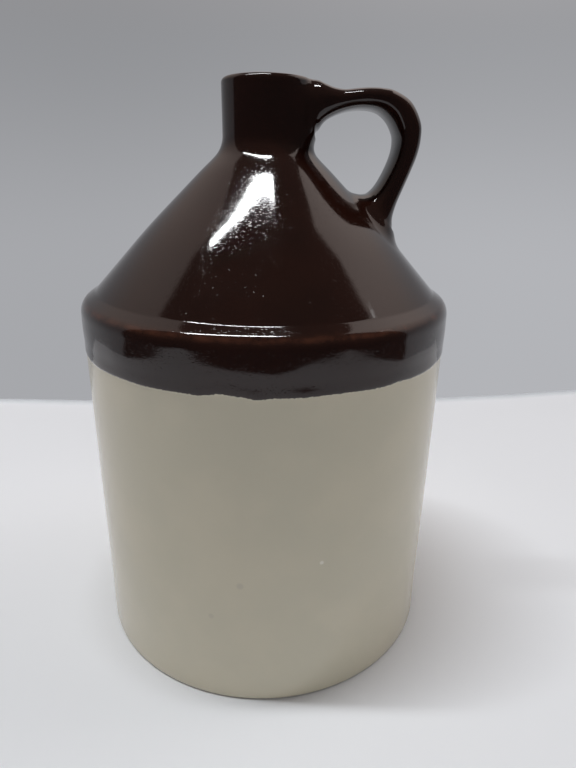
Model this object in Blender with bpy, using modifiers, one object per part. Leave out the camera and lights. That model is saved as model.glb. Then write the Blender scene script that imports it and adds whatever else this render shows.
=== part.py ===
"""Stoneware shoulder jug: a turned hollow body with a cone shoulder, a short open neck and one strap handle.

The jug is one fired piece. It stands on the origin with its axis on +Z, and the handle is on the +X side.
All sizes are in metres.
"""
import math

import bmesh
import bpy
from mathutils import Vector

# Heights up the jug
HEIGHT = 0.2700
NECK_FOOT_HEIGHT = 0.2408
SHOULDER_TOP_HEIGHT = 0.2321
SHOULDER_MIDDLE_HEIGHT = 0.2062
LIP_FOOT_HEIGHT = 0.1784
RIDGE_HEIGHT = 0.1738
COLLAR_BULGE_HEIGHT = 0.1620
GLAZE_LINE_HEIGHT = 0.1523

# Outside radii, from the foot up
FOOT_RADIUS = 0.0875
WALL_MIDDLE_RADIUS = 0.0881
WALL_TOP_RADIUS = 0.0885
COLLAR_RADIUS = 0.0890
RIDGE_RADIUS = 0.0887
LIP_FOOT_RADIUS = 0.0818
SHOULDER_MIDDLE_RADIUS = 0.0564
SHOULDER_TOP_RADIUS = 0.0300
NECK_RADIUS = 0.0204

# The hollow inside
WALL_THICKNESS = 0.0070
FLOOR_THICKNESS = 0.0085
BORE_RADIUS = 0.0130
INNER_SHOULDER_HEIGHT = 0.1650
INNER_NECK_FOOT_HEIGHT = 0.2352

# Roundings of the corners of the turned outline
FOOT_ROUNDING = 0.0015
COLLAR_ROUNDING = 0.0800
RIDGE_ROUNDING = 0.0072
LIP_FOOT_ROUNDING = 0.0050
SHOULDER_MIDDLE_ROUNDING = 0.3500
SHOULDER_TOP_ROUNDING = 0.2500
NECK_FOOT_ROUNDING = 0.0175
RIM_OUTER_ROUNDING = 0.0022
RIM_INNER_ROUNDING = 0.0030
INNER_NECK_ROUNDING = 0.0150
INNER_SHOULDER_ROUNDING = 0.0120
INNER_FLOOR_ROUNDING = 0.0100

# Fineness of the turned body and of the handle
TURNING_STEPS = 64
ARC_STEP = math.radians(15.0)
HANDLE_SIDES = 24
HANDLE_RINGS = 42

# The strap handle in the XZ plane, from the neck over the bow to the shoulder. Each station is a point
# on the outer edge (x, z), the point across from it on the edge of the finger hole (x, z), and the width.
HANDLE_STATIONS = (
    (0.0143, 0.2688, 0.0143, 0.2430, 0.0275),
    (0.0174, 0.2697, 0.0174, 0.2438, 0.0266),
    (0.0204, 0.2699, 0.0206, 0.2458, 0.0262),
    (0.0232, 0.2695, 0.0226, 0.2493, 0.0260),
    (0.0262, 0.2682, 0.0258, 0.2526, 0.0260),
    (0.0296, 0.2669, 0.0300, 0.2551, 0.0260),
    (0.0342, 0.2662, 0.0350, 0.2570, 0.0260),
    (0.0398, 0.2667, 0.0400, 0.2580, 0.0265),
    (0.0453, 0.2671, 0.0445, 0.2582, 0.0265),
    (0.0510, 0.2670, 0.0486, 0.2577, 0.0270),
    (0.0567, 0.2660, 0.0522, 0.2562, 0.0270),
    (0.0643, 0.2617, 0.0556, 0.2530, 0.0270),
    (0.0693, 0.2535, 0.0581, 0.2484, 0.0270),
    (0.0700, 0.2462, 0.0588, 0.2448, 0.0270),
    (0.0690, 0.2394, 0.0583, 0.2406, 0.0265),
    (0.0667, 0.2324, 0.0566, 0.2354, 0.0265),
    (0.0635, 0.2240, 0.0539, 0.2296, 0.0268),
    (0.0612, 0.2180, 0.0513, 0.2254, 0.0274),
    (0.0598, 0.2126, 0.0484, 0.2227, 0.0288),
    (0.0593, 0.2083, 0.0452, 0.2216, 0.0310),
    (0.0596, 0.2040, 0.0424, 0.2208, 0.0335),
    (0.0584, 0.2012, 0.0400, 0.2192, 0.0345),
)
HANDLE_SQUARENESS = 2.7

# Glaze colours, as linear light
BROWN_GLAZE = (0.018, 0.007, 0.005, 1.0)
CREAM_GLAZE = (0.400, 0.370, 0.290, 1.0)


def clear_scene():
    """Leave nothing of the starting scene."""
    for thing in list(bpy.data.objects):
        bpy.data.objects.remove(thing, do_unlink=True)


def new_collection(name):
    collection = bpy.data.collections.new(name)
    bpy.context.scene.collection.children.link(collection)
    return collection


def glaze(name, colour, roughness):
    """A fired glaze: a plain dielectric with a glossy skin."""
    material = bpy.data.materials.new(name)
    material.use_nodes = True
    shader = material.node_tree.nodes["Principled BSDF"]
    shader.inputs["Base Color"].default_value = colour
    shader.inputs["Roughness"].default_value = roughness
    shader.inputs["Metallic"].default_value = 0.0
    return material


def rounded_outline(corners):
    """Replace each (radius, height, rounding) corner by an arc tangent to both of its sides."""
    places = [Vector((radius, height)) for radius, height, _ in corners]
    outline = [places[0]]
    for before, corner, after, (_, _, rounding) in zip(places, places[1:], places[2:], corners[1:]):
        to_before = (before - corner).normalized()
        to_after = (after - corner).normalized()
        turn = math.pi - to_before.angle(to_after)
        if rounding == 0.0:
            outline.append(corner)
            continue
        reach = rounding * math.tan(turn / 2.0)
        start = corner + to_before * reach
        centre = corner + (to_before + to_after).normalized() * rounding / math.cos(turn / 2.0)
        side = math.copysign(1.0, to_before.x * to_after.y - to_before.y * to_after.x)
        steps = max(1, math.ceil(turn / ARC_STEP))
        for step in range(steps + 1):
            spoke = start - centre
            angle = -side * turn * step / steps
            turned = Vector((
                spoke.x * math.cos(angle) - spoke.y * math.sin(angle),
                spoke.x * math.sin(angle) + spoke.y * math.cos(angle),
            ))
            outline.append(centre + turned)
    outline.append(places[-1])
    return outline


def jug_outline():
    """The half section of the body: from the floor inside, up and over the rim, and down the outside."""
    inner_foot_radius = FOOT_RADIUS - WALL_THICKNESS
    inner_wall_radius = WALL_TOP_RADIUS - WALL_THICKNESS
    return rounded_outline((
        (0.0, FLOOR_THICKNESS, 0.0),
        (inner_foot_radius, FLOOR_THICKNESS, INNER_FLOOR_ROUNDING),
        (inner_wall_radius, INNER_SHOULDER_HEIGHT, INNER_SHOULDER_ROUNDING),
        (BORE_RADIUS, INNER_NECK_FOOT_HEIGHT, INNER_NECK_ROUNDING),
        (BORE_RADIUS, HEIGHT, RIM_INNER_ROUNDING),
        (NECK_RADIUS, HEIGHT, RIM_OUTER_ROUNDING),
        (NECK_RADIUS, NECK_FOOT_HEIGHT, NECK_FOOT_ROUNDING),
        (SHOULDER_TOP_RADIUS, SHOULDER_TOP_HEIGHT, SHOULDER_TOP_ROUNDING),
        (SHOULDER_MIDDLE_RADIUS, SHOULDER_MIDDLE_HEIGHT, SHOULDER_MIDDLE_ROUNDING),
        (LIP_FOOT_RADIUS, LIP_FOOT_HEIGHT, LIP_FOOT_ROUNDING),
        (RIDGE_RADIUS, RIDGE_HEIGHT, RIDGE_ROUNDING),
        (COLLAR_RADIUS, COLLAR_BULGE_HEIGHT, COLLAR_ROUNDING),
        (WALL_TOP_RADIUS, GLAZE_LINE_HEIGHT, 0.0),
        (WALL_MIDDLE_RADIUS, GLAZE_LINE_HEIGHT / 2.0, 0.0),
        (FOOT_RADIUS, 0.0, FOOT_ROUNDING),
        (0.0, 0.0, 0.0),
    ))


def turned_body(collection):
    """Turn the half section once round the axis, as the jug is turned on the wheel."""
    outline = jug_outline()
    profile = bpy.data.meshes.new("jug_half_section")
    points = [(point.x, 0.0, point.y) for point in outline]
    sides = [(index, index + 1) for index in range(len(points) - 1)]
    profile.from_pydata(points, sides, [])
    wheel = bpy.data.objects.new("jug_on_wheel", profile)
    collection.objects.link(wheel)
    screw = wheel.modifiers.new("Turning", "SCREW")
    screw.axis = "Z"
    screw.angle = math.tau
    screw.steps = TURNING_STEPS
    screw.render_steps = TURNING_STEPS
    screw.use_merge_vertices = True
    screw.merge_threshold = 0.00001
    screw.use_smooth_shade = True
    depsgraph = bpy.context.evaluated_depsgraph_get()
    mesh = bpy.data.meshes.new_from_object(wheel.evaluated_get(depsgraph))
    mesh.name = "jug_body"
    bpy.data.objects.remove(wheel, do_unlink=True)
    body = bpy.data.objects.new("jug", mesh)
    collection.objects.link(body)
    return body


def smooth_between(values, place):
    """A Catmull-Rom curve through the values, read at a place counted in stations."""
    last = len(values) - 1
    start = min(int(place), last - 1)
    part = place - start
    before = values[max(start - 1, 0)]
    here = values[start]
    there = values[start + 1]
    after = values[min(start + 2, last)]
    return 0.5 * (
        2.0 * here
        + (there - before) * part
        + (2.0 * before - 5.0 * here + 4.0 * there - after) * part ** 2
        + (3.0 * here - before - 3.0 * there + after) * part ** 3
    )


def strap_ring(place):
    """One cross section of the strap: a flat oval with full, rounded edges."""
    columns = zip(*HANDLE_STATIONS)
    outer_x, outer_z, hole_x, hole_z, width = (smooth_between(column, place) for column in columns)
    centre = Vector((outer_x + hole_x, 0.0, outer_z + hole_z)) / 2.0
    outward = Vector((outer_x - hole_x, 0.0, outer_z - hole_z)) / 2.0
    sideways = Vector((0.0, width / 2.0, 0.0))
    power = 2.0 / HANDLE_SQUARENESS
    ring = []
    for side in range(HANDLE_SIDES):
        angle = math.tau * side / HANDLE_SIDES
        rise = math.copysign(abs(math.cos(angle)) ** power, math.cos(angle))
        across = math.copysign(abs(math.sin(angle)) ** power, math.sin(angle))
        ring.append(centre + outward * rise + sideways * across)
    return ring


def strap_handle(collection):
    """Loft the strap through its cross sections, flared where it is pressed on to the neck and shoulder."""
    last = len(HANDLE_STATIONS) - 1
    bm = bmesh.new()
    rings = []
    for index in range(HANDLE_RINGS + 1):
        ring = strap_ring(last * index / HANDLE_RINGS)
        rings.append([bm.verts.new(point) for point in ring])
    for ring, following in zip(rings, rings[1:]):
        for side in range(HANDLE_SIDES):
            beside = (side + 1) % HANDLE_SIDES
            bm.faces.new((ring[side], ring[beside], following[beside], following[side]))
    bm.faces.new(list(reversed(rings[0])))
    bm.faces.new(rings[-1])
    bmesh.ops.recalc_face_normals(bm, faces=bm.faces)
    mesh = bpy.data.meshes.new("strap_handle")
    bm.to_mesh(mesh)
    bm.free()
    handle = bpy.data.objects.new("strap_handle_blank", mesh)
    handle.display_type = "WIRE"
    handle.hide_render = True
    collection.objects.link(handle)
    return handle


def dip_in_glaze(body, brown, cream):
    """Brown glaze above the glaze line and all over the inside, cream glaze on the wall below it."""
    body.data.materials.append(brown)
    body.data.materials.append(cream)
    outer_skin = WALL_TOP_RADIUS - WALL_THICKNESS / 2.0
    for face in body.data.polygons:
        reach = math.hypot(face.center.x, face.center.y)
        is_wall = reach > outer_skin and face.center.z < GLAZE_LINE_HEIGHT
        is_underside = face.normal.z < -0.5 and face.center.z < FOOT_ROUNDING
        face.material_index = 1 if is_wall or is_underside else 0


def main():
    clear_scene()
    parts = new_collection("stoneware jug")
    blanks = new_collection("stoneware jug blanks")
    brown = glaze("brown glaze", BROWN_GLAZE, 0.08)
    cream = glaze("cream glaze", CREAM_GLAZE, 0.15)
    body = turned_body(parts)
    dip_in_glaze(body, brown, cream)
    handle = strap_handle(blanks)
    handle.data.materials.append(brown)
    join = body.modifiers.new("Handle pressed on", "BOOLEAN")
    join.operation = "UNION"
    join.object = handle
    body.data.shade_smooth()
    body.data.set_sharp_from_angle(angle=math.radians(40.0))
    handle.data.shade_smooth()


main()
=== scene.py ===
"""A one-gallon stoneware shoulder jug, dark brown above and cream below, standing on a pale table."""
import math

import bmesh
import bpy
import numpy as np
from mathutils import Matrix, Vector, noise
from mathutils.bvhtree import BVHTree
from mathutils.interpolate import poly_3d_calc


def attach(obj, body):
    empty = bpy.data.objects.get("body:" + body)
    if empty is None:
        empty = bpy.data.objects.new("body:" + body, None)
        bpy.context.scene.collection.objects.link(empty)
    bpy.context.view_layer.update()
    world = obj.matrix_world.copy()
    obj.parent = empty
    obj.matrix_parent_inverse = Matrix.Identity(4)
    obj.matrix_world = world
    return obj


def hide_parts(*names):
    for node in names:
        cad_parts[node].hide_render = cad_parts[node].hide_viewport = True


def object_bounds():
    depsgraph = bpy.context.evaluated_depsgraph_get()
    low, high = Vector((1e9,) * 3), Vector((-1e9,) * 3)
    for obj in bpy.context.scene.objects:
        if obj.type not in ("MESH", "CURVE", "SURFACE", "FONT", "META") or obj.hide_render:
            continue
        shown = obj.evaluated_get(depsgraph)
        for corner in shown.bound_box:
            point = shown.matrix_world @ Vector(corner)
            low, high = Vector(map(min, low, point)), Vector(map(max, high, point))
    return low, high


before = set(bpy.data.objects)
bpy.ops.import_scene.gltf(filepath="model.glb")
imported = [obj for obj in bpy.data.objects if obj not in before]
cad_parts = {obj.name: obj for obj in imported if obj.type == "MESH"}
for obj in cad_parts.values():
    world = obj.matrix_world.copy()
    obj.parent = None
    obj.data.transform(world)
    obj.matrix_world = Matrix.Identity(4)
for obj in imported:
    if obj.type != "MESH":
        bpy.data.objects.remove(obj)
cad_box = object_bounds()

# The turned body. One piece of stoneware thrown on the wheel: a straight wall, a collar under a soft
# ridge, a cone shoulder and a short open neck. It is hollow, about 7 mm thick, with a flat foot. The
# glaze stands on it as a thin skin, and its brown coat ends in a low bead round the wall.

HEIGHT = round(cad_box[1][2], 4)
NECK_FOOT_HEIGHT = 0.2415
NECK_SKIRT_HEIGHT = 0.23645
SHOULDER_TOP_HEIGHT = 0.2321
SHOULDER_MIDDLE_HEIGHT = 0.2062
LIP_FOOT_HEIGHT = 0.1784
RIDGE_HEIGHT = 0.1738
COLLAR_BULGE_HEIGHT = 0.1620
GLAZE_LINE_HEIGHT = 0.1523

FOOT_RADIUS = 0.0875
WALL_MIDDLE_RADIUS = 0.0881
WALL_TOP_RADIUS = 0.0885
COLLAR_RADIUS = 0.0890
RIDGE_RADIUS = 0.0887
LIP_FOOT_RADIUS = 0.0818
SHOULDER_MIDDLE_RADIUS = 0.0564
SHOULDER_TOP_RADIUS = 0.0300
NECK_SKIRT_RADIUS = 0.0252
NECK_RADIUS = 0.0204

WALL_THICKNESS = 0.0070
FLOOR_THICKNESS = 0.0085
BORE_RADIUS = 0.0130
BORE_JOIN_HEIGHT = 0.2640
INNER_SHOULDER_HEIGHT = 0.1650
INNER_NECK_FOOT_HEIGHT = 0.2352
FLAT_FOOT_WIDTH = 0.0060
# The floor and the underside close with a small flat cap in the middle.
CAP_RADIUS = 0.0005

# How far apart the rings of points lie, in metres. They lie closest near the edge of the brown coat.
NEAR_GLAZE_LINE = 0.0040
GLAZE_LINE_SPACING = 0.0004
WALL_SPACING = 0.0030
SHOULDER_SPACING = 0.0010
INSIDE_SPACING = 0.0045
UNDERSIDE_SPACING = 0.0060
ROUND_THE_WHEEL = 320
ARC_STEP = math.radians(3.0)
# The share of the neck's radius beyond which a point is on the outside of the rim.
OUTSIDE_THE_RIM = 0.98


def rounded_outline(corners):
    """Replace each (radius, height, rounding) corner by an arc tangent to both of its sides."""
    places = [Vector((radius, height)) for radius, height, _ in corners]
    outline = [places[0]]
    for before, corner, after, (_, _, rounding) in zip(places, places[1:], places[2:], corners[1:]):
        to_before = (before - corner).normalized()
        to_after = (after - corner).normalized()
        turn = math.pi - to_before.angle(to_after)
        reach = rounding * math.tan(turn / 2.0)
        start = corner + to_before * reach
        centre = corner + (to_before + to_after).normalized() * rounding / math.cos(turn / 2.0)
        side = math.copysign(1.0, to_before.x * to_after.y - to_before.y * to_after.x)
        steps = max(6, math.ceil(turn / ARC_STEP))
        spoke = start - centre
        for step in range(steps + 1):
            angle = -side * turn * step / steps
            outline.append(centre + Vector((
                spoke.x * math.cos(angle) - spoke.y * math.sin(angle),
                spoke.x * math.sin(angle) + spoke.y * math.cos(angle),
            )))
    outline.append(places[-1])
    return outline


def evened(outline, spacing):
    """Put in points so that no two are further apart than spacing(place) asks."""
    even = [outline[0]]
    for start, end in zip(outline, outline[1:]):
        parts = max(1, math.ceil((end - start).length / spacing((start + end) / 2.0)))
        even.extend(start.lerp(end, part / parts) for part in range(1, parts + 1))
    return even


def outside_spacing(place):
    if abs(place.y - GLAZE_LINE_HEIGHT) < NEAR_GLAZE_LINE:
        return GLAZE_LINE_SPACING
    if place.y < GLAZE_LINE_HEIGHT:
        return WALL_SPACING
    return SHOULDER_SPACING


# Each row is a corner's radius and height, and the radius of the arc that rounds it.
SHOULDER_OUTLINE = (
    (NECK_RADIUS, HEIGHT, 0.0022),
    (NECK_RADIUS, NECK_FOOT_HEIGHT, 0.0125),
    (NECK_SKIRT_RADIUS, NECK_SKIRT_HEIGHT, 0.0520),
    (SHOULDER_TOP_RADIUS, SHOULDER_TOP_HEIGHT, 0.1500),
    (SHOULDER_MIDDLE_RADIUS, SHOULDER_MIDDLE_HEIGHT, 0.3500),
    (LIP_FOOT_RADIUS, LIP_FOOT_HEIGHT, 0.0050),
    (RIDGE_RADIUS, RIDGE_HEIGHT, 0.0072),
)
outside = evened(rounded_outline((
    (BORE_RADIUS, BORE_JOIN_HEIGHT, 0.0),
    (BORE_RADIUS, HEIGHT, 0.0030),
    *SHOULDER_OUTLINE,
    (COLLAR_RADIUS, COLLAR_BULGE_HEIGHT, 0.0800),
    (WALL_TOP_RADIUS, GLAZE_LINE_HEIGHT, 0.1500),
    (WALL_MIDDLE_RADIUS, GLAZE_LINE_HEIGHT / 2.0, 2.0000),
    (FOOT_RADIUS, 0.0, 0.0015),
    (FOOT_RADIUS - FLAT_FOOT_WIDTH, 0.0, 0.0),
)), outside_spacing)
inside = evened(rounded_outline((
    (CAP_RADIUS, FLOOR_THICKNESS, 0.0),
    (FOOT_RADIUS - WALL_THICKNESS, FLOOR_THICKNESS, 0.0100),
    (WALL_TOP_RADIUS - WALL_THICKNESS, INNER_SHOULDER_HEIGHT, 0.0120),
    (BORE_RADIUS, INNER_NECK_FOOT_HEIGHT, 0.0150),
    (BORE_RADIUS, BORE_JOIN_HEIGHT, 0.0),
)), lambda place: INSIDE_SPACING)
underside = evened([outside[-1], Vector((CAP_RADIUS, 0.0))], lambda place: UNDERSIDE_SPACING)
half_section = inside + outside[1:] + underside[1:]

# Where the edge of the brown coat leaves its level: the angle from the front towards the handle in
# degrees, the width of the place in degrees, and the rise in metres.
GLAZE_LINE_WAVES = (
    (-11.5, 3.3, 0.0015),
    (-6.5, 2.6, 0.0006),
    (-2.0, 2.2, -0.0006),
    (37.5, 3.0, 0.0005),
    (96.0, 5.0, -0.0009),
    (141.0, 4.0, 0.0012),
    (-97.0, 4.5, 0.0010),
    (-152.0, 6.0, -0.0008),
)


def glaze_line(turned):
    """Height of the wavy lower edge of the brown coat, at an angle from the front towards the handle."""
    height = GLAZE_LINE_HEIGHT - 0.0001
    height += 0.00022 * math.sin(3.0 * turned + 0.9) + 0.00016 * math.sin(7.0 * turned - 0.5)
    height += 0.00012 * math.sin(17.0 * turned + 2.0)
    for middle, width, rise in GLAZE_LINE_WAVES:
        away = (math.degrees(turned) - middle + 180.0) % 360.0 - 180.0
        height += rise * math.exp(-(away / width) ** 2)
    return height


def risen(value, low, high):
    """From 0 at low to 1 at high, with soft ends."""
    share = min(1.0, max(0.0, (value - low) / (high - low)))
    return share * share * (3.0 - 2.0 * share)


SWAY = 0.00014
SWAY_LOST_ON_CONE = 0.7
THROWING_RINGS = 0.000012
RUNS_ON_COLLAR = 0.00020
COAT_THICKNESS = 0.00010
BEAD_THICKNESS = 0.00022
# The skin is sunk by this much, so that even its highest places stay within the true outline.
SKIN_SUNK = 0.00022


def skin_offset(x, y, z):
    """How far the hand-made, glazed skin stands out from the true outline at a place, in metres."""
    on_cone = risen(z, 0.176, 0.190)
    sway = noise.noise(Vector((x * 20.0, y * 20.0, z * 17.0))) * SWAY * (1.0 - SWAY_LOST_ON_CONE * on_cone)
    rings = noise.noise(Vector((3.1, 7.7, z * 120.0))) * THROWING_RINGS
    on_collar = risen(z, 0.1500, 0.1560) * (1.0 - risen(z, 0.1690, 0.1740))
    runs = noise.noise(Vector((x * 62.0, y * 62.0, z * 75.0 + 4.0))) * RUNS_ON_COLLAR * on_collar
    above = z - glaze_line(math.atan2(x, -y))
    coat = COAT_THICKNESS * risen(above, -0.0003, 0.0006)
    bead = BEAD_THICKNESS * risen(above, -0.0003, 0.0007) * (1.0 - risen(above, 0.0008, 0.0060))
    kept = risen(z, 0.003, 0.023) * (1.0 - risen(z, HEIGHT - 0.020, HEIGHT - 0.002))
    return kept * (sway + rings + runs + coat + bead - SKIN_SUNK)


# The neck's inside stays a true bore, so only the outline that shows gets the uneven skin.
bm = bmesh.new()
turns = [math.tau * turn / ROUND_THE_WHEEL for turn in range(ROUND_THE_WHEEL)]
rings = []
for place in half_section:
    ring = []
    for turned in turns:
        radius = place.x
        if radius > NECK_RADIUS * OUTSIDE_THE_RIM and place in outside:
            radius += skin_offset(radius * math.cos(turned), radius * math.sin(turned), place.y)
        ring.append(bm.verts.new((radius * math.cos(turned), radius * math.sin(turned), place.y)))
    rings.append(ring)
for ring, following in zip(rings, rings[1:]):
    for turn in range(ROUND_THE_WHEEL):
        beside = (turn + 1) % ROUND_THE_WHEEL
        bm.faces.new((ring[turn], ring[beside], following[beside], following[turn]))
bm.faces.new(rings[0])
bm.faces.new(list(reversed(rings[-1])))
bmesh.ops.recalc_face_normals(bm, faces=bm.faces)
body_mesh = bpy.data.meshes.new("jug_body")
bm.to_mesh(body_mesh)
bm.free()
jug = bpy.data.objects.new("jug_stoneware", body_mesh)
bpy.context.scene.collection.objects.link(jug)

# The strap handle. A flat strap of the same clay, pulled by hand, pressed on to the neck and the
# shoulder while both were soft. Its ends are smeared out into the jug, so that no seam shows.

# Each station is a point on the outer edge (x, z), the point across from it on the edge of the finger
# hole (x, z), and the width of the strap there.
HANDLE_STATIONS = (
    (0.0143, 0.2688, 0.0143, 0.2430, 0.0275),
    (0.0174, 0.2697, 0.0174, 0.2438, 0.0266),
    (0.0204, 0.2699, 0.0206, 0.2458, 0.0262),
    (0.0232, 0.2695, 0.0226, 0.2493, 0.0260),
    (0.0262, 0.2682, 0.0258, 0.2526, 0.0260),
    (0.0296, 0.2669, 0.0300, 0.2551, 0.0260),
    (0.0342, 0.2662, 0.0350, 0.2570, 0.0260),
    (0.0398, 0.2667, 0.0400, 0.2580, 0.0265),
    (0.0453, 0.2671, 0.0445, 0.2582, 0.0265),
    (0.0510, 0.2670, 0.0486, 0.2577, 0.0270),
    (0.0567, 0.2660, 0.0522, 0.2562, 0.0270),
    (0.0643, 0.2617, 0.0556, 0.2530, 0.0270),
    (0.0693, 0.2535, 0.0581, 0.2484, 0.0270),
    (0.0700, 0.2462, 0.0588, 0.2448, 0.0270),
    (0.0690, 0.2394, 0.0583, 0.2406, 0.0265),
    (0.0667, 0.2324, 0.0566, 0.2354, 0.0265),
    (0.0635, 0.2240, 0.0539, 0.2296, 0.0268),
    (0.0612, 0.2180, 0.0513, 0.2254, 0.0274),
    (0.0598, 0.2126, 0.0484, 0.2227, 0.0288),
    (0.0593, 0.2083, 0.0452, 0.2216, 0.0310),
    (0.0596, 0.2040, 0.0424, 0.2208, 0.0335),
    (0.0584, 0.2012, 0.0400, 0.2192, 0.0345),
)
# One more section at each end, deeper in the clay. The smearing below looks at these as well.
STRAP_START = (0.0060, 0.2672, 0.0060, 0.2425, 0.0250)
STRAP_END = (0.0562, 0.1962, 0.0355, 0.2162, 0.0350)
HANDLE_SQUARENESS = 2.7
HANDLE_SIDES = 88
RINGS_PER_STATION = 9


def smooth_between(values, place):
    """A Catmull-Rom curve through the values, read at a place counted in stations."""
    last = len(values) - 1
    start = min(int(place), last - 1)
    part = place - start
    before = values[max(start - 1, 0)]
    here = values[start]
    there = values[start + 1]
    after = values[min(start + 2, last)]
    return 0.5 * (
        2.0 * here
        + (there - before) * part
        + (2.0 * before - 5.0 * here + 4.0 * there - after) * part ** 2
        + (3.0 * here - before - 3.0 * there + after) * part ** 3
    )


def strap_ring(place):
    """One cross section of the strap: a flat oval with full, rounded edges, not quite even."""
    columns = zip(STRAP_START, *HANDLE_STATIONS, STRAP_END)
    outer_x, outer_z, hole_x, hole_z, width = (smooth_between(column, place) for column in columns)
    centre = Vector((outer_x + hole_x, 0.0, outer_z + hole_z)) / 2.0
    outward = Vector((outer_x - hole_x, 0.0, outer_z - hole_z)) / 2.0
    power = 2.0 / HANDLE_SQUARENESS
    ring = []
    for side in range(HANDLE_SIDES):
        angle = math.tau * side / HANDLE_SIDES
        rise = math.copysign(abs(math.cos(angle)) ** power, math.cos(angle))
        across = math.copysign(abs(math.sin(angle)) ** power, math.sin(angle))
        pulled = noise.noise(Vector((place * 0.55, across * 2.2, rise * 1.6 + 9.0)))
        size = 1.0 - 0.012 * (0.5 + pulled)
        ring.append(centre + (outward * rise + Vector((0.0, across * width / 2.0, 0.0))) * size)
    return ring


def strap_between(first, last, closed):
    """The strap's mesh from one section to another, with or without its two ends."""
    bm = bmesh.new()
    rings = []
    for index in range((last - first) * RINGS_PER_STATION + 1):
        ring = strap_ring(first + index / RINGS_PER_STATION)
        rings.append([bm.verts.new(point) for point in ring])
    for ring, following in zip(rings, rings[1:]):
        for side in range(HANDLE_SIDES):
            beside = (side + 1) % HANDLE_SIDES
            bm.faces.new((ring[side], ring[beside], following[beside], following[side]))
    if closed:
        bm.faces.new(list(reversed(rings[0])))
        bm.faces.new(rings[-1])
    bmesh.ops.recalc_face_normals(bm, faces=bm.faces)
    mesh = bpy.data.meshes.new("strap_handle")
    bm.to_mesh(mesh)
    bm.free()
    return mesh


strap = bpy.data.objects.new("strap_handle_blank", strap_between(1, len(HANDLE_STATIONS), True))
bpy.context.scene.collection.objects.link(strap)

join = jug.modifiers.new("Handle pressed on", "BOOLEAN")
join.operation = "UNION"
join.object = strap
depsgraph = bpy.context.evaluated_depsgraph_get()
joined = bpy.data.meshes.new_from_object(jug.evaluated_get(depsgraph))
jug.modifiers.clear()
jug.data = joined
joined.name = "jug_stoneware"

bpy.data.objects.remove(strap, do_unlink=True)

# The two surfaces meet in a hard crease. The clay there is smeared: each point near the crease moves
# to where a soft blend of its distances from the body and from the strap is nothing.

# How widely the clay is smeared, in metres: on the shoulder, from the finger hole's side of the strap to
# its outer side, and on the neck, from under the strap up to the rim.
SMEAR_AT_HOLE = 0.0065
SMEAR_OUTSIDE = 0.0083
SMEAR_UNDER_STRAP = 0.0080
SMEAR_AT_RIM = 0.0012
# Where one width passes into the next: across the strap's foot and up the neck.
FOOT_X = (0.050, 0.058)
NECK_Z = (0.260, 0.269)
FOOT_TO_NECK_Z = (0.225, 0.240)
# Points further than this from either surface are left alone, and so are those of the bore and those
# away from the strap.
NEAR_THE_CREASE = 0.0082
STRAP_SIDE = 0.004
STRAP_REACH = 0.032
STRAP_LOWEST = 0.185
RIM_ROUNDING = 0.0016
OUTSIDE_THE_NECK = 0.97
OFF_THE_BORE = 0.84
MERGED_BELOW = 0.00015
# The points take seven steps towards the smeared skin. In some they also slide along it, which keeps the
# mesh even there.
SMEAR_TURNS = 7
SLIDING_TURNS = (1, 2, 3, 4)
SLIDE_SHARE = 0.5
STEP_SHARE = 0.9
EVENING_TURNS = 8
EVENING_SHARE = 0.6

whole_strap = strap_between(0, len(HANDLE_STATIONS) + 1, False)
strap_corners = [vertex.co.copy() for vertex in whole_strap.vertices]
strap_normals = [vertex.normal.copy() for vertex in whole_strap.vertices]
strap_faces = [tuple(face.vertices) for face in whole_strap.polygons]
strap_tree = BVHTree.FromPolygons(strap_corners, strap_faces)

shoulder_line = np.array(rounded_outline((
    (BORE_RADIUS, HEIGHT, 0.0),
    *SHOULDER_OUTLINE,
    (COLLAR_RADIUS, COLLAR_BULGE_HEIGHT, 0.0),
)))
line_starts = shoulder_line[:-1]
line_runs = shoulder_line[1:] - line_starts
line_lengths = (line_runs ** 2).sum(axis=1)
run_ways = np.stack((-line_runs[:, 1], line_runs[:, 0]), axis=1) / np.sqrt(line_lengths)[:, None]
corner_ways = np.vstack((run_ways[:1], run_ways[:-1] + run_ways[1:], run_ways[-1:]))
corner_ways /= np.linalg.norm(corner_ways, axis=1)[:, None]


def from_body(points):
    """Signed distances of points from the body's glazed skin, and the way out of it at each."""
    reach = np.hypot(points[:, 0], points[:, 1])
    flat = np.stack((reach, points[:, 2]), axis=1)
    apart = flat[:, None, :] - line_starts[None]
    along = np.clip((apart * line_runs[None]).sum(axis=2) / line_lengths[None], 0.0, 1.0)
    gap = apart - along[..., None] * line_runs[None]
    nearest = (gap ** 2).sum(axis=2).argmin(axis=1)
    rows = np.arange(len(points))
    share = along[rows, nearest][:, None]
    way = corner_ways[nearest] * (1.0 - share) + corner_ways[nearest + 1] * share
    distance = (gap[rows, nearest] * run_ways[nearest]).sum(axis=1)
    offset = np.array([skin_offset(*point) for point in points])
    spoke = points[:, :2] / np.maximum(reach, 1e-9)[:, None]
    return distance - offset * way[:, 0], np.column_stack((spoke * way[:, :1], way[:, 1]))


def from_strap(points):
    """Signed distances of points from the strap, and the way out of it at each."""
    distance = np.empty(len(points))
    way = np.empty((len(points), 3))
    for index, point in enumerate(points):
        spot = Vector(point)
        nearest, facing, face, _ = strap_tree.find_nearest(spot)
        corners = strap_faces[face]
        shares = poly_3d_calc([strap_corners[corner] for corner in corners], nearest)
        smooth = sum((strap_normals[corner] * share for corner, share in zip(corners, shares)), Vector())
        distance[index] = math.copysign((spot - nearest).length, (spot - nearest).dot(facing))
        way[index] = smooth.normalized()
    return distance, way


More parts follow.
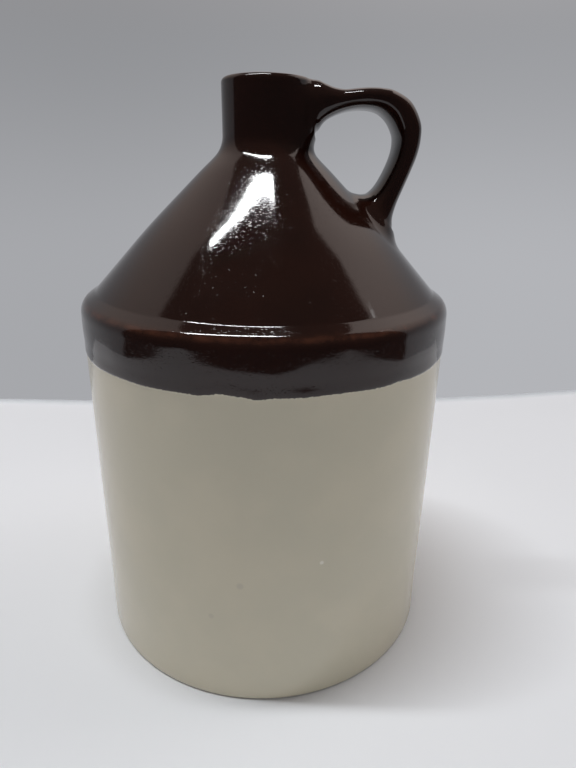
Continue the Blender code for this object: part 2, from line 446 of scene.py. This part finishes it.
def smeared(points):
    """Distances of points from the skin with the joint smeared, the way out, and the share of smearing."""
    to_body, body_way = from_body(points)
    to_strap, strap_way = from_strap(points)
    # Where the two surfaces run almost the same way there is little to smear.
    opened = np.clip((1.0 - (body_way * strap_way).sum(axis=1)) / 0.25, 0.02, 1.0)
    at_root = np.interp(points[:, 0], FOOT_X, (SMEAR_AT_HOLE, SMEAR_OUTSIDE))
    at_neck = np.interp(points[:, 2], NECK_Z, (SMEAR_UNDER_STRAP, SMEAR_AT_RIM))
    up_there = np.interp(points[:, 2], FOOT_TO_NECK_Z, (0.0, 1.0))
    width = (at_root + (at_neck - at_root) * up_there) * opened
    overlap = np.clip(width - np.abs(to_body - to_strap), 0.0, None) / width
    share = np.where(to_body < to_strap, 1.0 - overlap / 2.0, overlap / 2.0)[:, None]
    distance = np.minimum(to_body, to_strap) - overlap ** 2 * width / 4.0
    return distance, body_way * share + strap_way * (1.0 - share), overlap


bm = bmesh.new()
bm.from_mesh(joined)
bmesh.ops.triangulate(bm, faces=[face for face in bm.faces if len(face.verts) > 4])
bmesh.ops.remove_doubles(bm, verts=bm.verts, dist=MERGED_BELOW)
# Merging can leave a loose flap, which is cut off.
flaps = [face for face in bm.faces if any(edge.is_boundary for edge in face.edges)]
bmesh.ops.delete(bm, geom=flaps, context="FACES")
bm.to_mesh(joined)
bm.free()

count = len(joined.vertices)
spots = np.empty(count * 3)
joined.vertices.foreach_get("co", spots)
spots = spots.reshape(-1, 3)
reach = np.hypot(spots[:, 0], spots[:, 1])
near_strap = (spots[:, 0] > STRAP_SIDE) & (np.abs(spots[:, 1]) < STRAP_REACH) & (spots[:, 2] > STRAP_LOWEST)
near_strap &= (reach > NECK_RADIUS * OUTSIDE_THE_NECK) | (spots[:, 2] > HEIGHT - RIM_ROUNDING)
near_strap &= reach > NECK_RADIUS * OFF_THE_BORE
chosen = np.nonzero(near_strap)[0]
to_body, _ = from_body(spots[chosen])
to_strap, _ = from_strap(spots[chosen])
chosen = chosen[np.maximum(np.abs(to_body), np.abs(to_strap)) < NEAR_THE_CREASE]

edges = np.empty(len(joined.edges) * 2, dtype=np.int64)
joined.edges.foreach_get("vertices", edges)
edges = edges.reshape(-1, 2)
is_chosen = np.zeros(count, dtype=bool)
is_chosen[chosen] = True
edges = edges[is_chosen[edges].any(axis=1)]
neighbours = np.bincount(edges.ravel(), minlength=count)[:, None]
for turn in range(SMEAR_TURNS):
    distance, way, overlap = smeared(spots[chosen])
    if turn in SLIDING_TURNS:
        sums = np.zeros((count, 3))
        np.add.at(sums, edges[:, 0], spots[edges[:, 1]])
        np.add.at(sums, edges[:, 1], spots[edges[:, 0]])
        slide = sums[chosen] / neighbours[chosen] - spots[chosen]
        out = way / np.linalg.norm(way, axis=1)[:, None]
        slide -= out * (slide * out).sum(axis=1)[:, None]
        spots[chosen] += slide * SLIDE_SHARE * np.minimum(1.0, overlap * 3.0)[:, None]
    steep = np.maximum((way ** 2).sum(axis=1), 0.10)
    spots[chosen] -= way * (distance / steep)[:, None] * STEP_SHARE
spots[:, 2] = np.clip(spots[:, 2], 0.0, HEIGHT)
joined.vertices.foreach_set("co", spots.ravel())
joined.update()

# The shading follows the smeared skin as well.
joined.shade_smooth()
normals = np.empty(count * 3)
joined.vertex_normals.foreach_get("vector", normals)
normals = normals.reshape(-1, 3)
_, way, overlap = smeared(spots[chosen])
way /= np.linalg.norm(way, axis=1)[:, None]
share = np.minimum(1.0, overlap * 2.0)[:, None]
blended = normals[chosen] * (1.0 - share) + way * share
normals[chosen] = blended / np.linalg.norm(blended, axis=1)[:, None]
for turn in range(EVENING_TURNS):
    sums = np.zeros((count, 3))
    np.add.at(sums, edges[:, 0], normals[edges[:, 1]])
    np.add.at(sums, edges[:, 1], normals[edges[:, 0]])
    apart = sums[chosen] / neighbours[chosen] - normals[chosen]
    evener = normals[chosen] + apart * share * EVENING_SHARE
    normals[chosen] = evener / np.linalg.norm(evener, axis=1)[:, None]
joined.normals_split_custom_set_from_vertices([tuple(normal) for normal in normals])

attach(jug, "root")
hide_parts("jug")

# The glazes. The jug was dipped twice: cream below, and a glossy dark brown from the glaze line up and
# all over the inside. The brown runs thin and breaks to rust on the ridge. The foot is wiped bare.

THIN_GLAZE_HEIGHT = 0.1743
THIN_GLAZE_WIDTH = 0.0011
WIPED_HEIGHT = 0.0006
WELL_ABOVE_LINE = 0.05
above_line = joined.attributes.new("above_glaze_line", "FLOAT", "POINT")
thin = joined.attributes.new("thin_glaze", "FLOAT", "POINT")
bare = joined.attributes.new("bare_foot", "FLOAT", "POINT")
for index in range(count):
    x, y, z = spots[index]
    out = math.hypot(x, y)
    is_inside = z > FLOOR_THICKNESS / 2.0 and out < FOOT_RADIUS - WALL_THICKNESS / 2.0
    above_line.data[index].value = WELL_ABOVE_LINE if is_inside else z - glaze_line(math.atan2(x, -y))
    if out > LIP_FOOT_RADIUS:
        thin.data[index].value = math.exp(-((z - THIN_GLAZE_HEIGHT) / THIN_GLAZE_WIDTH) ** 2)
    bare.data[index].value = 1.0 if z < WIPED_HEIGHT else 0.0

glazes = bpy.data.materials.new("jug_glazes")
glazes.use_nodes = True
node_tree = glazes.node_tree
shader = node_tree.nodes["Principled BSDF"]
shader.inputs["IOR"].default_value = 1.52


def wire(socket, value):
    """Set a socket to a number or a colour, or link it to another node's output."""
    if isinstance(value, bpy.types.NodeSocket):
        node_tree.links.new(value, socket)
    else:
        socket.default_value = value


def maths(operation, first, second=0.0):
    made = node_tree.nodes.new("ShaderNodeMath")
    made.operation = operation
    wire(made.inputs[0], first)
    wire(made.inputs[1], second)
    return made.outputs[0]


def stretched(value, low, high, to_low=0.0, to_high=1.0):
    """The value carried from the range low to high over to another range, with soft ends."""
    made = node_tree.nodes.new("ShaderNodeMapRange")
    made.interpolation_type = "SMOOTHSTEP"
    for socket, number in zip(made.inputs, (value, low, high, to_low, to_high)):
        wire(socket, number)
    return made.outputs[0]


def blended_colour(share, first, second):
    made = node_tree.nodes.new("ShaderNodeMix")
    made.data_type = "RGBA"
    wire(made.inputs[0], share)
    wire(made.inputs[6], first)
    wire(made.inputs[7], second)
    return made.outputs[2]


def cloud(scale, detail=2.0, roughness=0.5):
    """Soft noise around 0.5, with lumps of about 1 / scale metres."""
    made = node_tree.nodes.new("ShaderNodeTexNoise")
    made.inputs["Scale"].default_value = scale
    made.inputs["Detail"].default_value = detail
    made.inputs["Roughness"].default_value = roughness
    wire(made.inputs["Vector"], on_piece)
    return made.outputs[0]


def written_on(name):
    """A number written on the mesh's points."""
    made = node_tree.nodes.new("ShaderNodeAttribute")
    made.attribute_name = name
    return made.outputs["Fac"]


def mark(middle, size):
    """1 at a small round mark on the wall, 0 away from it."""
    made = node_tree.nodes.new("ShaderNodeVectorMath")
    made.operation = "DISTANCE"
    wire(made.inputs[0], on_piece)
    wire(made.inputs[1], middle)
    return stretched(made.outputs["Value"], size * 0.4, size, 1.0, 0.0)


on_piece = node_tree.nodes.new("ShaderNodeTexCoord").outputs["Object"]

DARK_BROWN = (0.0150, 0.0050, 0.0034, 1.0)
WARM_BROWN = (0.0195, 0.0062, 0.0040, 1.0)
RUST = (0.0780, 0.0270, 0.0150, 1.0)
CREAM = (0.716, 0.656, 0.508, 1.0)
CREAM_CLOUD = (0.680, 0.630, 0.490, 1.0)
DUSTY_CREAM = (0.560, 0.510, 0.420, 1.0)
PALE_FLECK = (0.860, 0.820, 0.720, 1.0)
BARE_CLAY = (0.560, 0.500, 0.400, 1.0)

# The brown coat pools in places and breaks to rust where it runs thin.
pooled = stretched(cloud(26.0, 3.0), 0.36, 0.64)
streaks = stretched(cloud(150.0, 4.0, 0.6), 0.30, 0.70, 0.10, 0.85)
broken = maths("MULTIPLY", written_on("thin_glaze"), streaks)
brown = blended_colour(broken, blended_colour(pooled, DARK_BROWN, WARM_BROWN), RUST)

# The cream coat is slightly cloudy, with a few small marks of the kiln, each given by place and size.
KILN_MARKS = (
    ((-0.0109, -0.0873, 0.0653), 0.0022),
    ((-0.0240, -0.0845, 0.0470), 0.0018),
    ((0.0560, 0.0674, 0.0930), 0.0016),
    ((-0.0790, 0.0382, 0.1190), 0.0020),
)
MARK_STRENGTH = 0.45
PALE_FLECK_PLACE = (0.0241, -0.0847, 0.0752)
PALE_FLECK_SIZE = 0.0013
cream = blended_colour(stretched(cloud(30.0, 3.0), 0.32, 0.68), CREAM, CREAM_CLOUD)
for middle, size in KILN_MARKS:
    cream = blended_colour(maths("MULTIPLY", mark(middle, size), MARK_STRENGTH), cream, DUSTY_CREAM)
cream = blended_colour(mark(PALE_FLECK_PLACE, PALE_FLECK_SIZE), cream, PALE_FLECK)

# The two coats meet along a finely ragged line.
RAGGED_EDGE = 0.0014
ragged = maths("MULTIPLY", maths("SUBTRACT", cloud(900.0, 3.0, 0.6), 0.5), RAGGED_EDGE)
beyond_line = maths("ADD", written_on("above_glaze_line"), ragged)
is_brown = stretched(beyond_line, -0.00012, 0.00012)
is_bare = stretched(written_on("bare_foot"), 0.4, 0.6)
both_coats = blended_colour(is_brown, cream, brown)
wire(shader.inputs["Base Color"], blended_colour(is_bare, both_coats, BARE_CLAY))

brown_gloss = stretched(cloud(60.0, 3.0), 0.3, 0.7, 0.045, 0.080)
cream_gloss = stretched(cloud(45.0, 3.0), 0.3, 0.7, 0.110, 0.170)
brown_share = maths("MULTIPLY", is_brown, maths("SUBTRACT", brown_gloss, cream_gloss))
coat_gloss = maths("ADD", cream_gloss, brown_share)
BARE_CLAY_ROUGHNESS = 0.75
bare_roughness = maths("MULTIPLY", is_bare, BARE_CLAY_ROUGHNESS)
wire(shader.inputs["Roughness"], maths("MAXIMUM", coat_gloss, bare_roughness))

# Fired glaze has a fine orange-peel skin with small pits, a few of them deep. Depths are in metres.
PIT_DEPTH = -0.0000135
DEEP_PIT_DEPTH = -0.0000220
FINE_PEEL_DEPTH = 0.0000070
BROAD_PEEL_DEPTH = 0.0000090
peel = node_tree.nodes.new("ShaderNodeBump")
wire(peel.inputs["Strength"], 1.0)
wire(peel.inputs["Distance"], 1.0)
pits = maths("MULTIPLY", stretched(cloud(1350.0, 1.0), 0.58, 0.84), PIT_DEPTH)
deep_pits = maths("MULTIPLY", stretched(cloud(950.0, 1.0), 0.71, 0.80), DEEP_PIT_DEPTH)
all_pits = maths("ADD", pits, deep_pits)
fine_peel = maths("ADD", maths("MULTIPLY", cloud(1800.0, 1.0), FINE_PEEL_DEPTH), all_pits)
broad_peel = maths("MULTIPLY", cloud(260.0, 1.0), BROAD_PEEL_DEPTH)
wire(peel.inputs["Height"], maths("ADD", fine_peel, broad_peel))
wire(shader.inputs["Normal"], peel.outputs[0])

joined.materials.clear()
joined.materials.append(glazes)
for face in joined.polygons:
    face.material_index = 0

# The table: a pale matt sheet on which the jug stands. Its far edge, a little uneven, curls up where it
# meets the wall behind.

# The two front corners, then the far edge from right to left.
TABLE_CORNERS = (
    (-0.60, -0.54),
    (0.55, -0.54),
    (0.55, 0.338),
    (0.35, 0.300),
    (0.26, 0.284),
    (0.19, 0.275),
    (-0.19, 0.266),
    (-0.27, 0.270),
    (-0.60, 0.282),
)
CURL_RADIUS = 0.0055
CURL_ANGLE = math.radians(75.0)
CURL_STEPS = 12
PARTS_A_STRETCH = 8
near_left, near_right, *far_edge = (Vector((*corner, 0.0)) for corner in TABLE_CORNERS)
far_points = []
for start, end in zip(far_edge, far_edge[1:]):
    far_points.extend(start.lerp(end, part / PARTS_A_STRETCH) for part in range(PARTS_A_STRETCH))
far_points.append(far_edge[-1])
bm = bmesh.new()
table_width = near_right.x - near_left.x
near_points = [near_right.lerp(near_left, (near_right.x - point.x) / table_width) for point in far_points]
lines = [[bm.verts.new(point) for point in near_points]]
for step in range(CURL_STEPS + 1):
    angle = CURL_ANGLE * step / CURL_STEPS
    curl = Vector((0.0, math.sin(angle), 1.0 - math.cos(angle))) * CURL_RADIUS
    lines.append([bm.verts.new(point + curl) for point in far_points])
for line, following in zip(lines, lines[1:]):
    for index in range(len(far_points) - 1):
        bm.faces.new((line[index], following[index], following[index + 1], line[index + 1]))
bmesh.ops.recalc_face_normals(bm, faces=bm.faces)
table_mesh = bpy.data.meshes.new("pale_table")
bm.to_mesh(table_mesh)
bm.free()
table_mesh.shade_smooth()
table = bpy.data.objects.new("pale_table", table_mesh)
bpy.context.scene.collection.objects.link(table)
paper = bpy.data.materials.new("pale_table")
paper.use_nodes = True
node_tree = paper.node_tree
shader = node_tree.nodes["Principled BSDF"]
on_piece = node_tree.nodes.new("ShaderNodeTexCoord").outputs["Object"]
TABLE_WHITE = (0.856, 0.882, 0.918, 1.0)
TABLE_WHITE_PALER = (0.876, 0.902, 0.938, 1.0)
TABLE_GRAIN = 0.000020
faint = cloud(7.0, 3.0)
wire(shader.inputs["Base Color"], blended_colour(faint, TABLE_WHITE, TABLE_WHITE_PALER))
wire(shader.inputs["Roughness"], stretched(faint, 0.3, 0.7, 0.58, 0.64))
grain = node_tree.nodes.new("ShaderNodeBump")
wire(grain.inputs["Strength"], 1.0)
wire(grain.inputs["Distance"], 1.0)
wire(grain.inputs["Height"], maths("MULTIPLY", cloud(700.0), TABLE_GRAIN))
wire(shader.inputs["Normal"], grain.outputs[0])
table_mesh.materials.append(paper)

# The room: pale walls to the left, to the right and behind, lit from above, with a dark ceiling and a
# dim front. One long lamp hangs overhead and a small one far to the right. Two soft fills light the
# front and the right, and don't show in the glaze.

COOL_WALL = (0.935, 0.950, 1.0, 1.0)
WARM_WALL = (1.0, 0.86, 0.80, 1.0)
world = bpy.data.worlds.new("studio")
bpy.context.scene.world = world
world.use_nodes = True
node_tree = world.node_tree
backdrop = node_tree.nodes["Background"]
facing = node_tree.nodes.new("ShaderNodeSeparateXYZ")
wire(facing.inputs[0], node_tree.nodes.new("ShaderNodeTexCoord").outputs["Generated"])
across, back, up = facing.outputs

# The walls show below the ceiling's edge and not in front. Their glow grows from left to right.
overhead = maths("MAXIMUM", up, 0.0)
behind = maths("SUBTRACT", back, maths("MULTIPLY", overhead, 0.08))
sideways = maths("MULTIPLY", maths("ABSOLUTE", across), 2.05)
below_ceiling = maths("SUBTRACT", maths("MAXIMUM", sideways, back), overhead)
is_wall = maths("MULTIPLY", stretched(behind, -0.01, 0.03), stretched(below_ceiling, 0.0, 0.04))
glow_at_table = stretched(across, -0.3, 0.4, 0.36, 0.43)
glow_above_jug = stretched(across, -0.3, 0.4, 0.25, 0.30)
low_glow = stretched(up, -0.15, 0.22, glow_at_table, glow_above_jug)
high_glow = maths("MULTIPLY", stretched(up, 0.18, 0.80), stretched(across, -0.3, 0.5, 0.30, 0.80))
wall_glow = maths("MULTIPLY", is_wall, maths("ADD", low_glow, high_glow))
dim_glow = stretched(up, 0.2, 0.7, 0.05, 0.085)
wire(backdrop.inputs["Strength"], maths("ADD", wall_glow, dim_glow))
wire(backdrop.inputs["Color"], blended_colour(stretched(up, 0.15, 0.55), COOL_WALL, WARM_WALL))

LAMP_COLOUR = (0.97, 0.985, 1.0)


def studio_lamp(name, middle, size, power, turned=0.0, tipped=0.0):
    """A flat lamp. Unturned it faces down; tipped leans its light towards the back."""
    lamp = bpy.data.lights.new(name, "AREA")
    lamp.shape = "RECTANGLE"
    lamp.size, lamp.size_y = size
    lamp.energy = power
    lamp.color = LAMP_COLOUR
    holder = bpy.data.objects.new(name, lamp)
    holder.location = middle
    holder.rotation_euler = (tipped, 0.0, turned)
    bpy.context.scene.collection.objects.link(holder)
    return holder


studio_lamp(
    "long_lamp",
    middle=(-0.532, -0.010, 2.40),
    size=(1.46, 0.090),
    power=33.5,
    turned=math.radians(-2.0),
)
studio_lamp("small_lamp", middle=(2.300, 0.240, 2.40), size=(0.045, 0.045), power=0.07)
front_fill = studio_lamp(
    "front_fill",
    middle=(0.25, -2.00, 0.90),
    size=(2.00, 1.20),
    power=5.0,
    turned=math.radians(7.0),
    tipped=math.radians(68.0),
)
right_fill = studio_lamp("right_fill", middle=(0.85, 0.15, 1.30), size=(0.60, 0.60), power=2.2)
for fill in (front_fill, right_fill):
    fill.visible_glossy = False

# The camera, at the photograph's viewing angle.

CAMERA_PLACE = Vector((0.0, -0.28311, 0.23160))
LOOKS_DOWN = math.radians(20.61)
LOOKS_ASIDE = math.radians(2.38)
LEANS = math.radians(1.0)
LENS = 26.484
SENSOR = 36.0
ahead = Vector((
    math.sin(LOOKS_ASIDE) * math.cos(LOOKS_DOWN),
    math.cos(LOOKS_ASIDE) * math.cos(LOOKS_DOWN),
    -math.sin(LOOKS_DOWN),
))
level_right = ahead.cross(Vector((0.0, 0.0, 1.0))).normalized()
level_up = level_right.cross(ahead)
right = level_right * math.cos(LEANS) + level_up * math.sin(LEANS)
upright = level_up * math.cos(LEANS) - level_right * math.sin(LEANS)
camera_data = bpy.data.cameras.new("camera")
camera_data.lens = LENS
camera_data.sensor_width = SENSOR
camera = bpy.data.objects.new("camera", camera_data)
bpy.context.scene.collection.objects.link(camera)
bpy.context.scene.camera = camera
camera.matrix_world = Matrix((right, upright, -ahead)).transposed().to_4x4()
camera.location = CAMERA_PLACE
bpy.context.scene.view_settings.view_transform = "Standard"
